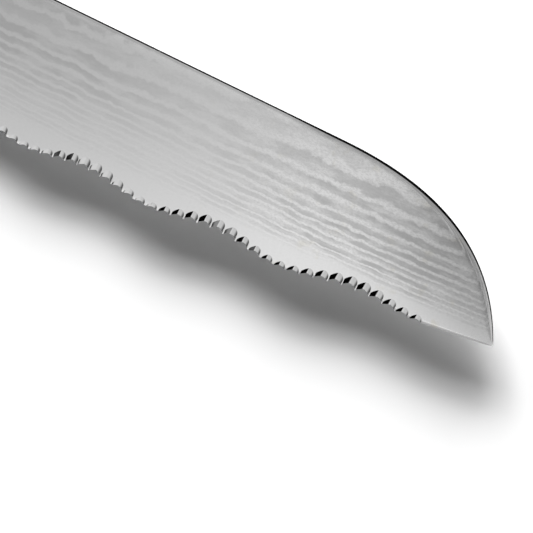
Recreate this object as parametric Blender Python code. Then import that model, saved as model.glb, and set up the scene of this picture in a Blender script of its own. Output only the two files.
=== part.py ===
# Serrated utility knife, lying on the left side of its handle.
# The blade is one forging of layered steel with a sharp corner at the tip, and its tang runs the whole
# length of the handle. Bolsters, liners, scales and butt caps sit on both flat sides of the tang, held by
# hidden dowels and three two-part rivets. Nothing on it moves.
# X points to the tip, Y to the spine, and Z out of the right side, where the teeth are ground.
# The knife is drawn from the heel of the edge, and an empty puts its handle on the ground plane.
import math

import bpy
import bmesh
from mathutils import Vector

# Blade outline, from the heel forwards and from the lowest line of the edge upwards
blade_length = 0.152
spine_height = 0.0362
spine_fall = math.radians(3.0)
belly_place = 0.092
belly_radius_back = 2.20
belly_radius_front = 0.542
tip_curve_length = 0.0482
tip_angle = math.radians(69.0)
tip_curve_start_pull = 0.0221
tip_curve_end_pull = 0.0214
heel_lean = 0.0008

# Blade section
spine_thickness = 0.0020
tip_thickness = 0.0015
behind_edge_thickness = 0.00026
grind_fullness = 2.45
edge_bevel_height = 0.0005
edge_thickness = 0.00012
spine_round = 0.0005
tip_round = 0.0018
spine_flat_share = 0.4

# Teeth, ground into the right side only: lopsided round-nosed grooves that follow a slow wave
plain_tip_length = 0.01655
tooth_count = 39
tooth_pitch = 0.0034
wide_pitch_grooves = (8, 22)
wide_pitch_gain = 0.00095
wave_length = 0.0360
wave_depth = 0.00164
groove_left_width = 0.00172
groove_right_width = 0.00138
groove_width_swing = 0.04
groove_depth = 0.00104
groove_depth_swing = 0.00042
groove_nose_height = 0.00118
groove_left_power = 1.25
groove_right_power = 2.2
grind_angle = math.radians(18.0)
grind_skew = math.radians(18.0)
comb_finger_floor = 0.0035
comb_back_height = 0.0030

# Handle outline, from the heel backwards
handle_length = 0.118
choil_radius = 0.0025
handle_front_bottom = 0.0135
finger_swell = 0.0020
finger_waves = 1.6
butt_hook = 0.0038
top_waves = 1.1
top_drop = 0.0030
butt_corner_radius = 0.0080

# Handle section
handle_thickness = 0.0180
handle_corner_width = 0.0055
handle_rim = 0.0012
bolster_front_thickness = 0.0084
butt_side_radius = 0.0040
bolster_length = 0.0120
butt_cap_length = 0.0130
liner_thickness = 0.0008

# Fixings
fit_clearance = 0.00005
rivet_head_radius = 0.0037
rivet_head_thickness = 0.0018
rivet_sleeve_radius = 0.0025
rivet_post_radius = 0.0017
rivet_inset = 0.0160
rivet_bore_floor = 0.0050
dowel_radius = 0.0015
dowel_reach = 0.0040
dowel_spread = 0.0055

# Facets
blade_steps = 30
mid_columns = 7
choil_steps = 4
tip_steps = 12
groove_steps = 8
corner_steps = 5
scale_steps = 12
round_segments = 24

# Places that follow from the sizes
tang_half = spine_thickness / 2
scale_inner = tang_half + liner_thickness
handle_half = handle_thickness / 2
teeth_end = blade_length - plain_tip_length
curve_start = blade_length - tip_curve_length
bolster_front = -choil_radius
scale_front = bolster_front - bolster_length
scale_back = -handle_length + butt_cap_length
handle_end = -handle_length
rivet_places = [scale_front - rivet_inset, (scale_front + scale_back) / 2, scale_back + rivet_inset]
rest_x = (rivet_places[0] + rivet_places[1]) / 2

for old in list(bpy.data.objects):
    bpy.data.objects.remove(old, do_unlink=True)


def mix(a, b, share):
    return a + (b - a) * share


def ease(share):
    share = min(1.0, max(0.0, share))
    return share * share * (3 - 2 * share)


# Materials

def material(name, colour, roughness, metallic):
    made = bpy.data.materials.new(name)
    made.use_nodes = True
    shader = made.node_tree.nodes["Principled BSDF"]
    shader.inputs["Base Color"].default_value = (*colour, 1.0)
    shader.inputs["Roughness"].default_value = roughness
    shader.inputs["Metallic"].default_value = metallic
    made.diffuse_color = (*colour, 1.0)
    return made


layered_steel = material("layered steel", (0.62, 0.62, 0.62), 0.30, 1.0)
satin_steel = material("satin steel", (0.66, 0.66, 0.67), 0.32, 1.0)
bright_steel = material("bright steel", (0.72, 0.72, 0.73), 0.18, 1.0)
dowel_steel = material("dowel steel", (0.55, 0.55, 0.56), 0.40, 1.0)
red_fibre = material("red fibre", (0.20, 0.025, 0.02), 0.55, 0.0)
dark_wood = material("dark laminated wood", (0.045, 0.026, 0.018), 0.38, 0.0)


# Empty that carries every piece, so that the origin lies on the flat of the left scale

knife = bpy.data.objects.new("knife", None)
bpy.context.scene.collection.objects.link(knife)


def add(name, mesh_maker, finish, cutter=False):
    bm = bmesh.new()
    mesh_maker(bm)
    bmesh.ops.recalc_face_normals(bm, faces=bm.faces)
    mesh = bpy.data.meshes.new(name)
    bm.to_mesh(mesh)
    bm.free()
    mesh.shade_smooth()
    mesh.set_sharp_from_angle(angle=math.radians(28))
    made = bpy.data.objects.new(name, mesh)
    bpy.context.scene.collection.objects.link(made)
    made.parent = knife
    if cutter:
        made.hide_render = True
        made.display_type = "WIRE"
    else:
        mesh.materials.append(finish)
    return made


def cut(target, cutter):
    boolean = target.modifiers.new(cutter.name, "BOOLEAN")
    boolean.operation = "DIFFERENCE"
    boolean.solver = "EXACT"
    boolean.object = cutter


def cylinder(bm, radius, x, y, low, high):
    made = bmesh.ops.create_cone(bm, cap_ends=True, segments=round_segments, radius1=radius, radius2=radius,
                                 depth=high - low)
    bmesh.ops.translate(bm, verts=made["verts"], vec=(x, y, (low + high) / 2))


def skin(bm, rows, close_ends=True):
    """Faces between rows of vertices, each of which runs once round the piece."""
    for row, following in zip(rows, rows[1:]):
        for i in range(len(row)):
            j = (i + 1) % len(row)
            bm.faces.new((row[i], row[j], following[j], following[i]))
    if close_ends:
        bm.faces.new(rows[0])
        bm.faces.new(rows[-1])


# Outlines

def edge_height(x):
    radius = belly_radius_back if x < belly_place else belly_radius_front
    return (x - belly_place) ** 2 / (2 * radius)


def wave(x):
    if x > teeth_end:
        return 0.0
    return wave_depth / 2 * (1 - math.cos(2 * math.pi * (teeth_end - x) / wave_length))


def spine_line(x):
    return spine_height - math.tan(spine_fall) * x


def tip_curve(share):
    """Drop of the spine to the corner at the tip, one smooth curve."""
    start = Vector((curve_start, spine_line(curve_start)))
    end = Vector((blade_length, edge_height(blade_length)))
    along = Vector((math.cos(spine_fall), -math.sin(spine_fall)))
    down = Vector((math.cos(tip_angle), -math.sin(tip_angle)))
    first = start + along * tip_curve_start_pull
    second = end - down * tip_curve_end_pull
    rest = 1 - share
    return (start * rest ** 3 + first * (3 * rest ** 2 * share) + second * (3 * rest * share ** 2)
            + end * share ** 3)


def corner_cut(x):
    """How far the round corners at the butt draw the outline in."""
    inside = butt_corner_radius - (x - handle_end)
    if inside <= 0:
        return 0.0
    return butt_corner_radius - math.sqrt(max(0.0, butt_corner_radius ** 2 - inside ** 2))


def handle_top(x):
    share = -x / handle_length
    crown = math.tan(spine_fall) * handle_length / (math.pi * top_waves)
    arch = crown * math.sin(math.pi * top_waves * share)
    return spine_height + arch - top_drop * share ** 3 - corner_cut(x)


def handle_bottom(x):
    share = -x / handle_length
    swell = finger_swell * (1 - math.cos(2 * math.pi * finger_waves * share)) / 2
    return handle_front_bottom - swell - butt_hook * share ** 4 + corner_cut(x)


def handle_middle(x):
    return (handle_top(x) + handle_bottom(x)) / 2


def handle_side(x):
    """Distance of the flat side from the middle plane: thin at the bolster's front, rounded at the butt."""
    if x > scale_front:
        share = (bolster_front - x) / bolster_length
        return mix(bolster_front_thickness / 2, handle_half, math.sin(share * math.pi / 2))
    inside = butt_side_radius - (x - handle_end)
    if inside > 0:
        return handle_half - butt_side_radius + math.sqrt(max(0.0, butt_side_radius ** 2 - inside ** 2))
    return handle_half


def handle_places(front, back):
    """Stations along the handle, closer together where the butt and the bolster are rounded."""
    if front > scale_front:
        return [mix(front, back, (i / corner_steps) ** 1.6) for i in range(corner_steps + 1)]
    if back == handle_end:
        turns = [i / corner_steps * math.pi / 2 for i in range(corner_steps + 1)]
        return [front] + [handle_end + butt_corner_radius * (1 - math.sin(turn)) for turn in turns]
    return [mix(front, back, i / scale_steps) for i in range(scale_steps + 1)]


# Blade and tang

def half_thickness(x, y, spine_gap, round_width):
    """Half of the blade's thickness: full convex grind, with the spine rounded over."""
    full = mix(spine_thickness, tip_thickness, x / blade_length)
    rise = (y - edge_height(x)) / (spine_line(x) - edge_height(x))
    rise = min(1.0, max(0.0, rise))
    half = mix(behind_edge_thickness, full, 1 - (1 - rise) ** grind_fullness) / 2
    if spine_gap < round_width:
        over = math.sqrt(max(0.0, 1 - (1 - spine_gap / round_width) ** 2))
        half *= mix(spine_flat_share, 1.0, over)
    return half


def tang_stations():
    """Pairs of outline points, bottom and top, from the butt to the choil."""
    butt = reversed(handle_places(scale_back, handle_end))
    middle = reversed(handle_places(scale_front, scale_back)[:-1])
    turns = [i / choil_steps * math.pi / 2 for i in range(choil_steps + 1)]
    choil = [bolster_front + choil_radius * math.sin(turn) for turn in turns]
    stations = []
    for x in [*butt, *middle, mix(scale_front, bolster_front, 0.5), *choil]:
        low = handle_bottom(x)
        if x > bolster_front:
            low -= choil_radius - math.sqrt(max(0.0, choil_radius ** 2 - (x - bolster_front) ** 2))
        stations.append((Vector((x, low)), Vector((x, handle_top(x)))))
    return stations


def blade_stations():
    """Pairs of outline points, edge and spine, from the heel to just short of the tip corner."""
    stations = []
    for i in range(blade_steps + 1):
        x = mix(heel_lean, curve_start, i / blade_steps)
        stations.append((Vector((x, edge_height(x) + wave(x))), Vector((x, spine_line(x))), spine_round))
    for i in range(1, tip_steps):
        share = i / tip_steps
        x = mix(curve_start, blade_length, share)
        width = mix(spine_round, tip_round, ease(share * 1.6))
        stations.append((Vector((x, edge_height(x) + wave(x))), tip_curve(share), width))
    return stations


def blade_columns(low, high, round_width):
    """Places across the blade with their distance from the spine, close together at edge and spine."""
    length = (high - low).length
    bevel = min(edge_bevel_height, length / 6)
    width = min(round_width, length / 3)
    places = [0.0, bevel]
    places += [mix(bevel, length - width, (i / mid_columns) ** 1.5) for i in range(1, mid_columns + 1)]
    places += [length - width * share for share in (0.55, 0.25, 0.08, 0.0)]
    return [(low.lerp(high, place / length), length - place) for place in places], width


def blade_mesh(bm):
    rows = []
    for low, high in tang_stations():
        places, width = blade_columns(low, high, spine_round)
        rows.append([(point, tang_half) for point, gap in places])
    for low, high, round_width in blade_stations():
        places, width = blade_columns(low, high, round_width)
        row = [(point, half_thickness(point.x, point.y, gap, width)) for point, gap in places]
        row[0] = (row[0][0], edge_thickness / 2)
        rows.append(row)
    loops = []
    for row in rows:
        right = [bm.verts.new((point.x, point.y, half)) for point, half in row]
        left = [bm.verts.new((point.x, point.y, -half)) for point, half in reversed(row)]
        loops.append(right + left)
    skin(bm, loops, close_ends=False)
    bm.faces.new(loops[0])
    tip = edge_height(blade_length)
    right_tip = bm.verts.new((blade_length, tip, edge_thickness / 2))
    left_tip = bm.verts.new((blade_length, tip, -edge_thickness / 2))
    count = len(loops[-1]) // 2
    last = loops[-1]
    for i in range(count - 1):
        bm.faces.new((last[i], last[i + 1], right_tip))
        bm.faces.new((last[count + i], last[count + i + 1], left_tip))
    bm.faces.new((last[count - 1], last[count], left_tip, right_tip))
    bm.faces.new((last[0], last[-1], left_tip, right_tip))
    bmesh.ops.dissolve_limit(bm, angle_limit=0.0008, verts=bm.verts, edges=bm.edges)


def groove_distance(k):
    """Distance of a groove from the front of the teeth, with a stretch of slightly wider spacing."""
    start, end = wide_pitch_grooves
    return (k + 0.5) * tooth_pitch + wide_pitch_gain * ease((k - start) / (end - start))


def groove_cutter_mesh(bm):
    """Comb of lopsided fingers, one for each groove, drawn out along the slanted path of the wheel."""
    floor = -comb_finger_floor
    back = floor - comb_back_height
    outline = [(teeth_end, back), (teeth_end, floor)]
    for k in range(tooth_count):
        centre = teeth_end - groove_distance(k)
        swing = 2 * wave(centre) / wave_depth - 1
        left_width = groove_left_width * (1 + groove_width_swing * swing)
        right_width = groove_right_width * (1 + groove_width_swing * swing)
        top = edge_height(centre) + wave(centre) + groove_depth + groove_depth_swing * swing
        outline.append((centre + right_width, floor))
        for i in range(groove_steps + 1):
            across = math.cos(math.pi * i / groove_steps)
            width, power = (right_width, groove_right_power) if across > 0 else (left_width, groove_left_power)
            drop = 1 - (1 - abs(across) ** power) ** (1 / power)
            outline.append((centre + width * across, top - groove_nose_height * drop))
        outline.append((centre - left_width, floor))
    last = teeth_end - groove_distance(tooth_count - 1) - tooth_pitch / 2
    outline += [(last, floor), (last, back)]
    slope = 1 / math.tan(grind_angle)
    sides = []
    for z in (-spine_thickness / 2, spine_thickness / 2):
        rise = (z + edge_thickness / 2) * slope
        shift = Vector((math.sin(grind_skew) * rise, math.cos(grind_skew) * rise, z))
        sides.append([bm.verts.new(Vector((x, y, 0)) + shift) for x, y in outline])
    skin(bm, sides)


def fixing_holes(bm, low, high):
    for x in rivet_places:
        cylinder(bm, rivet_sleeve_radius + fit_clearance, x, handle_middle(x), low, high)


def dowel_places():
    front = mix(scale_front, bolster_front, 0.5)
    back = mix(scale_back, handle_end, 0.5)
    return [("bolster", front), ("butt", back)]


def dowel_holes(bm, reach):
    for name, x in dowel_places():
        for side in (-1, 1):
            y = handle_middle(x) + side * dowel_spread
            cylinder(bm, dowel_radius + fit_clearance, x, y, -reach, reach)


def tang_hole_mesh(bm):
    fixing_holes(bm, -2 * tang_half, 2 * tang_half)
    dowel_holes(bm, 2 * tang_half)


blade = add("blade", blade_mesh, layered_steel)
cut(blade, add("groove_cutter", groove_cutter_mesh, None, cutter=True))
cut(blade, add("tang_hole_cutter", tang_hole_mesh, None, cutter=True))


# Handle pieces on both sides of the tang

def section(x, inner, side):
    """Half of the handle's section at x, from the inner face out to the flat side."""
    top = handle_top(x)
    bottom = handle_bottom(x)
    outer = handle_side(x)
    rim = min(inner + handle_rim, mix(inner, outer, 0.5))
    corner = min(handle_corner_width, (top - bottom) / 2.2)
    points = [(top, inner)]
    for i in range(corner_steps + 1):
        turn = i / corner_steps * math.pi / 2
        points.append((top - corner * (1 - math.cos(turn)), rim + (outer - rim) * math.sin(turn)))
    for i in range(corner_steps + 1):
        turn = (1 - i / corner_steps) * math.pi / 2
        points.append((bottom + corner * (1 - math.cos(turn)), rim + (outer - rim) * math.sin(turn)))
    points.append((bottom, inner))
    return [Vector((x, y, side * z)) for y, z in points]


def handle_piece(front, back, inner, side):
    def mesh(bm):
        rows = []
        for x in handle_places(front, back):
            rows.append([bm.verts.new(point) for point in section(x, inner, side)])
        skin(bm, rows)
    return mesh


def liner_mesh(side):
    def mesh(bm):
        rows = []
        for x in handle_places(scale_front, scale_back):
            corners = [(handle_top(x), tang_half), (handle_top(x), scale_inner),
                       (handle_bottom(x), scale_inner), (handle_bottom(x), tang_half)]
            rows.append([bm.verts.new((x, y, side * z)) for y, z in corners])
        skin(bm, rows)
    return mesh


def turned(bm, profile, x, side):
    """Solid turned round an upright axis from pairs of radius and height that start and end on the axis."""
    y = handle_middle(x)
    rings = []
    for radius, height in profile:
        if radius == 0:
            rings.append([bm.verts.new((x, y, side * height))])
            continue
        turns = [2 * math.pi * i / round_segments for i in range(round_segments)]
        rings.append([bm.verts.new((x + radius * math.sin(turn), y + radius * math.cos(turn), side * height))
                      for turn in turns])
    for ring, following in zip(rings, rings[1:]):
        for i in range(round_segments):
            j = (i + 1) % round_segments
            if len(ring) == 1:
                bm.faces.new((ring[0], following[i], following[j]))
            elif len(following) == 1:
                bm.faces.new((ring[i], ring[j], following[0]))
            else:
                bm.faces.new((ring[i], ring[j], following[j], following[i]))


def scale_hole_mesh(side):
    """Stepped holes: a seat for each rivet head and a bore for its sleeve."""
    def mesh(bm):
        beyond = handle_half * 2
        seat = handle_half - rivet_head_thickness - fit_clearance
        head = rivet_head_radius + fit_clearance
        bore = rivet_sleeve_radius + fit_clearance
        for x in rivet_places:
            turned(bm, [(0, beyond), (head, beyond), (head, seat), (bore, seat), (bore, 0), (0, 0)], x, side)
    return mesh


def blind_hole_mesh(bm):
    dowel_holes(bm, tang_half + dowel_reach + fit_clearance)


def liner_hole_mesh(bm):
    fixing_holes(bm, -2 * scale_inner, 2 * scale_inner)


blind_holes = add("dowel_hole_cutter", blind_hole_mesh, None, cutter=True)
liner_holes = add("liner_hole_cutter", liner_hole_mesh, None, cutter=True)
for hand, side in (("right", 1), ("left", -1)):
    bolster = add("bolster_" + hand, handle_piece(bolster_front, scale_front, tang_half, side), satin_steel)
    cut(bolster, blind_holes)
    liner = add("liner_" + hand, liner_mesh(side), red_fibre)
    cut(liner, liner_holes)
    scale = add("scale_" + hand, handle_piece(scale_front, scale_back, scale_inner, side), dark_wood)
    cut(scale, add("rivet_hole_cutter_" + hand, scale_hole_mesh(side), None, cutter=True))
    cap = add("butt_cap_" + hand, handle_piece(scale_back, handle_end, tang_half, side), satin_steel)
    cut(cap, blind_holes)


# Two-part rivets: a sleeve from the right takes the post of the head on the left

head_floor = handle_half - rivet_head_thickness


def sleeve_mesh(x):
    bore = rivet_post_radius + fit_clearance
    profile = [(0, handle_half), (rivet_head_radius, handle_half), (rivet_head_radius, head_floor),
               (rivet_sleeve_radius, head_floor), (rivet_sleeve_radius, -head_floor + fit_clearance),
               (bore, -head_floor + fit_clearance), (bore, rivet_bore_floor), (0, rivet_bore_floor)]
    return lambda bm: turned(bm, profile, x, 1)


def post_mesh(x):
    end = rivet_bore_floor - fit_clearance
    profile = [(0, handle_half), (rivet_head_radius, handle_half), (rivet_head_radius, head_floor),
               (rivet_post_radius, head_floor), (rivet_post_radius, -end), (0, -end)]
    return lambda bm: turned(bm, profile, x, -1)


for name, x in zip(("front", "middle", "rear"), rivet_places):
    add("rivet_sleeve_" + name, sleeve_mesh(x), bright_steel)
    add("rivet_post_" + name, post_mesh(x), bright_steel)


# Hidden dowels that locate the bolsters and the butt caps on the tang

def dowel_mesh(x, y):
    reach = tang_half + dowel_reach
    return lambda bm: cylinder(bm, dowel_radius, x, y, -reach, reach)


for name, x in dowel_places():
    for place, side in (("upper", 1), ("lower", -1)):
        add(name + "_dowel_" + place, dowel_mesh(x, handle_middle(x) + side * dowel_spread), dowel_steel)

knife.location = (-rest_x, -handle_middle(rest_x), handle_half)
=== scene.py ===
import math

import bpy
import bmesh
from mathutils import Matrix, Vector


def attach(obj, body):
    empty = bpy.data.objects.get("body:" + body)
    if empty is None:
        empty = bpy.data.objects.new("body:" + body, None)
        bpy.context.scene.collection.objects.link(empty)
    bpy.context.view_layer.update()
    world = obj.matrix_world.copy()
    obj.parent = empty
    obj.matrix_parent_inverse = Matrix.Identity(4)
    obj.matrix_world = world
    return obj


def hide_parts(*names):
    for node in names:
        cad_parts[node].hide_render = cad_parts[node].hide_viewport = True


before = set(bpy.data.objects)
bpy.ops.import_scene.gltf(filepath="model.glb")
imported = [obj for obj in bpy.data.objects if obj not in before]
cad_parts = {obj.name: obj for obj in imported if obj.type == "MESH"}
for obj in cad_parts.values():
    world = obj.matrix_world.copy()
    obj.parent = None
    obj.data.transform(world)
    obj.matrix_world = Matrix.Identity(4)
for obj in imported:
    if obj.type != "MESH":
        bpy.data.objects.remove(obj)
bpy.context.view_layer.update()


# Blade and tang
# One forging of layered steel: a hard plain core between thin soft layers that show as wavy lines where
# the convex grind cuts through them. The tang runs on through the whole handle, drilled for the fixings.
# A thin line of painted dark reflection runs along the rounded spine, broadest where it falls towards the
# tip.

blade_length = 0.152
spine_height = 0.0362
spine_fall = math.radians(3.0)
belly_place = 0.092
belly_radius_back = 2.20
belly_radius_front = 0.542
tip_curve_length = 0.0482
tip_angle = math.radians(69.0)
tip_curve_start_pull = 0.0221
tip_curve_end_pull = 0.0214
heel_lean = 0.0008
spine_thickness = 0.0020
tip_thickness = 0.0015
behind_edge_thickness = 0.00026
grind_fullness = 2.45
edge_bevel_height = 0.0005
edge_thickness = 0.00012
spine_round = 0.0005
tip_round = 0.0018
tip_round_rate = 1.6
spine_flat_share = 0.4
# The painted dark reflection along the rounded spine: its width on the straight, near the tip and at the
# corner, and how it grows and fades towards the tip
spine_dark_reflection_width = 0.0012
tip_dark_reflection_width = 0.0019
corner_dark_reflection_width = 0.0003
dark_reflection_growth_rate = 6.0
dark_reflection_fade_rate = 2.2
dark_reflection_fade_delay = 0.75
curve_start = blade_length - tip_curve_length
tang_half = spine_thickness / 2

handle_length = 0.118
choil_radius = 0.0025
handle_front_bottom = 0.0135
finger_swell = 0.0020
finger_waves = 1.6
butt_hook = 0.0038
top_waves = 1.1
top_drop = 0.0030
butt_corner_radius = 0.0080
bolster_length = 0.0120
butt_cap_length = 0.0130
rivet_inset = 0.0160
bolster_front = -choil_radius
scale_front = bolster_front - bolster_length
scale_back = -handle_length + butt_cap_length
handle_end = -handle_length
handle_half = 0.0090
rivet_places = [scale_front - rivet_inset, (scale_front + scale_back) / 2, scale_back + rivet_inset]
rest_x = (rivet_places[0] + rivet_places[1]) / 2

blade_steps = 150
tip_steps = 48
grind_columns = 16
column_crowding = 1.4
rounding_columns = 9
bevel_limit = 6
rounding_limit = 3
tang_steps = 48
corner_steps = 16
round_segments = 64
merge_distance = 0.0000005
blade_sharp_angle = 14


def mix(a, b, share):
    return a + (b - a) * share


def ease(share):
    share = min(1.0, max(0.0, share))
    return share * share * (3 - 2 * share)


def edge_height(x):
    radius = belly_radius_back if x < belly_place else belly_radius_front
    return (x - belly_place) ** 2 / (2 * radius)


def spine_line(x):
    return spine_height - math.tan(spine_fall) * x


def tip_curve(share):
    """Drop of the spine to the corner at the tip, one smooth curve."""
    start = Vector((curve_start, spine_line(curve_start)))
    end = Vector((blade_length, edge_height(blade_length)))
    first = start + Vector((math.cos(spine_fall), -math.sin(spine_fall))) * tip_curve_start_pull
    second = end - Vector((math.cos(tip_angle), -math.sin(tip_angle))) * tip_curve_end_pull
    rest = 1 - share
    return (start * rest ** 3 + first * (3 * rest ** 2 * share) + second * (3 * rest * share ** 2)
            + end * share ** 3)


def corner_cut(x):
    inside = butt_corner_radius - (x - handle_end)
    if inside <= 0:
        return 0.0
    return butt_corner_radius - math.sqrt(max(0.0, butt_corner_radius ** 2 - inside ** 2))


def handle_top(x):
    share = -x / handle_length
    crown = math.tan(spine_fall) * handle_length / (math.pi * top_waves)
    arch = crown * math.sin(math.pi * top_waves * share)
    return spine_height + arch - top_drop * share ** 3 - corner_cut(x)


def handle_bottom(x):
    share = -x / handle_length
    swell = finger_swell * (1 - math.cos(2 * math.pi * finger_waves * share)) / 2
    return handle_front_bottom - swell - butt_hook * share ** 4 + corner_cut(x)


def handle_middle(x):
    return (handle_top(x) + handle_bottom(x)) / 2


knife_place = Vector((-rest_x, -handle_middle(rest_x), handle_half))


def spread(front, back, steps):
    """Stations along the handle, closer together round the corners of the butt."""
    if back == handle_end:
        turns = [i / steps * math.pi / 2 for i in range(steps + 1)]
        return [front] + [handle_end + butt_corner_radius * (1 - math.sin(turn)) for turn in turns]
    return [mix(front, back, i / steps) for i in range(steps + 1)]


def half_thickness(x, y, spine_gap, round_width):
    """Half of the blade's thickness: full convex grind, with the spine rounded over."""
    full = mix(spine_thickness, tip_thickness, x / blade_length)
    rise = (y - edge_height(x)) / (spine_line(x) - edge_height(x))
    rise = min(1.0, max(0.0, rise))
    half = mix(behind_edge_thickness, full, 1 - (1 - rise) ** grind_fullness) / 2
    if spine_gap < round_width:
        over = math.sqrt(max(0.0, 1 - (1 - spine_gap / round_width) ** 2))
        half *= mix(spine_flat_share, 1.0, over)
    return half


def across_blade(low, high, round_width):
    """Places from the edge to the spine, each with its distance from the spine.

    Of the height, the bevel takes a sixth and the rounding a third at most.
    """
    length = (high - low).length
    bevel = min(edge_bevel_height, length / bevel_limit)
    width = min(round_width, length / rounding_limit)
    places = [0.0, bevel]
    places += [mix(bevel, length - width, (i / grind_columns) ** column_crowding)
               for i in range(1, grind_columns + 1)]
    for i in range(rounding_columns - 1, -1, -1):
        places.append(length - width * (1 - math.cos(i / rounding_columns * math.pi / 2)))
    return [(low.lerp(high, place / length), length - place) for place in places], width


def skin(bm, rows, close_ends=True):
    """Faces between rows of vertices, each of which runs once round the piece."""
    for row, following in zip(rows, rows[1:]):
        for i in range(len(row)):
            j = (i + 1) % len(row)
            bm.faces.new((row[i], row[j], following[j], following[i]))
    if close_ends:
        bm.faces.new(rows[0])
        bm.faces.new(rows[-1])


def forge(name, bm, place=knife_place):
    """Object at the origin from a mesh drawn from the heel, with every face turned outwards."""
    bmesh.ops.translate(bm, verts=bm.verts, vec=place)
    bmesh.ops.recalc_face_normals(bm, faces=bm.faces)
    mesh = bpy.data.meshes.new(name)
    bm.to_mesh(mesh)
    bm.free()
    made = bpy.data.objects.new(name, mesh)
    bpy.context.scene.collection.objects.link(made)
    return made


def settle(made, sharp_angle):
    """Applies the object's modifiers, cleans the cuts, and keeps only its real corners sharp."""
    graph = bpy.context.evaluated_depsgraph_get()
    mesh = bpy.data.meshes.new_from_object(made.evaluated_get(graph), depsgraph=graph)
    made.modifiers.clear()
    made.data = mesh
    bm = bmesh.new()
    bm.from_mesh(mesh)
    bmesh.ops.remove_doubles(bm, verts=bm.verts, dist=merge_distance)
    bm.to_mesh(mesh)
    bm.free()
    mesh.shade_smooth()
    mesh.set_sharp_from_angle(angle=math.radians(sharp_angle))


def blade_blank():
    """Blade, choil and tang before grinding and drilling, each vertex marked for the painted dark reflection
    on the spine.
    """
    bm = bmesh.new()
    rows = []
    butt = reversed(spread(scale_back, handle_end, corner_steps))
    middle = reversed(spread(scale_front, scale_back, tang_steps)[:-1])
    turns = [i / corner_steps * math.pi / 2 for i in range(corner_steps + 1)]
    choil = [bolster_front + choil_radius * math.sin(turn) for turn in turns]
    for x in [*butt, *middle, mix(scale_front, bolster_front, 0.5), *choil]:
        low = handle_bottom(x)
        if x > bolster_front:
            low -= choil_radius - math.sqrt(max(0.0, choil_radius ** 2 - (x - bolster_front) ** 2))
        places, width = across_blade(Vector((x, low)), Vector((x, handle_top(x))), spine_round)
        rows.append([(point, tang_half, 0.0) for point, gap in places])
    stations = []
    for i in range(blade_steps + 1):
        share = i / blade_steps
        x = mix(heel_lean, curve_start, share)
        # Width of the painted dark reflection along the spine at this station
        scale = mix(spine_dark_reflection_width, tip_dark_reflection_width, ease(mix(1 - dark_reflection_growth_rate, 1.0, share)))
        stations.append((x, Vector((x, spine_line(x))), spine_round, scale))
    for i in range(1, tip_steps):
        share = i / tip_steps
        x = mix(curve_start, blade_length, share)
        width = mix(spine_round, tip_round, ease(share * tip_round_rate))
        scale = mix(tip_dark_reflection_width, corner_dark_reflection_width, ease(share * dark_reflection_fade_rate - dark_reflection_fade_delay))
        stations.append((x, tip_curve(share), width, scale))
    # Each place keeps how deep it lies inside the painted dark reflection along the spine
    for x, high, round_width, scale in stations:
        places, width = across_blade(Vector((x, edge_height(x) + wave(x))), high, round_width)
        row = [(point, half_thickness(point.x, point.y, gap, width), 1 - gap / scale)
               for point, gap in places]
        row[0] = (row[0][0], edge_thickness / 2, 0.0)
        rows.append(row)
    loops = []
    layer = bm.verts.layers.float.new("spine_dark_reflection")
    for row in rows:
        right = [bm.verts.new((point.x, point.y, half)) for point, half, dark in row]
        left = [bm.verts.new((point.x, point.y, -half)) for point, half, dark in reversed(row)]
        loops.append(right + left)
        for vert, (point, half, dark) in zip(right + left, row + row[::-1]):
            vert[layer] = dark
    skin(bm, loops, close_ends=False)
    bm.faces.new(loops[0])
    tip = edge_height(blade_length)
    right_tip = bm.verts.new((blade_length, tip, edge_thickness / 2))
    left_tip = bm.verts.new((blade_length, tip, -edge_thickness / 2))
    last = loops[-1]
    count = len(last) // 2
    for i in range(count - 1):
        bm.faces.new((last[i], last[i + 1], right_tip))
        bm.faces.new((last[count + i], last[count + i + 1], left_tip))
    bm.faces.new((last[count - 1], last[count], left_tip, right_tip))
    bm.faces.new((last[0], last[-1], left_tip, right_tip))
    return bm


# Teeth: round-nosed grooves that a slanted wheel grinds into the right side only, so that each leaves a
# thin arch in the edge, and a slow wave along the edge lifts every third or fourth tooth off the board.

plain_tip_length = 0.01655
tooth_count = 39
tooth_pitch = 0.0034
wide_pitch_grooves = (8, 22)
wide_pitch_gain = 0.00095
wave_length = 0.0360
wave_depth = 0.00164
groove_left_width = 0.00172
groove_right_width = 0.00138
groove_depth = 0.00104
groove_depth_swing = 0.00042
groove_nose_height = 0.00118
groove_left_power = 1.25
groove_right_power = 2.2
groove_width_swing = 0.04
flank_start = 0.04
hand_error = 0.00004
grinder_seed = 7
grind_angle = math.radians(18.0)
grind_skew = math.radians(18.0)
wheel_reach = 0.0085
groove_steps = 24
teeth_end = blade_length - plain_tip_length


def wave(x):
    if x > teeth_end:
        return 0.0
    return wave_depth / 2 * (1 - math.cos(2 * math.pi * (teeth_end - x) / wave_length))


def wheel_finger():
    """What one pass of the wheel takes away, with its nose at the origin."""
    bm = bmesh.new()
    outline = [(groove_right_width, -wheel_reach)]
    for i in range(groove_steps + 1):
        across = math.cos(math.pi * i / groove_steps)
        width = groove_right_width if across > 0 else groove_left_width
        power = groove_right_power if across > 0 else groove_left_power
        drop = 1 - (1 - abs(across) ** power) ** (1 / power)
        outline.append((width * across, -groove_nose_height * drop))
    outline.append((-groove_left_width, -wheel_reach))
    sides = []
    for z in (-spine_thickness / 2, spine_thickness / 2):
        rise = (z + edge_thickness / 2) / math.tan(grind_angle)
        shift = Vector((math.sin(grind_skew) * rise, math.cos(grind_skew) * rise, z))
        sides.append([bm.verts.new(Vector((x, y, 0)) + shift) for x, y in outline])
    skin(bm, sides)
    return bm


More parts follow.
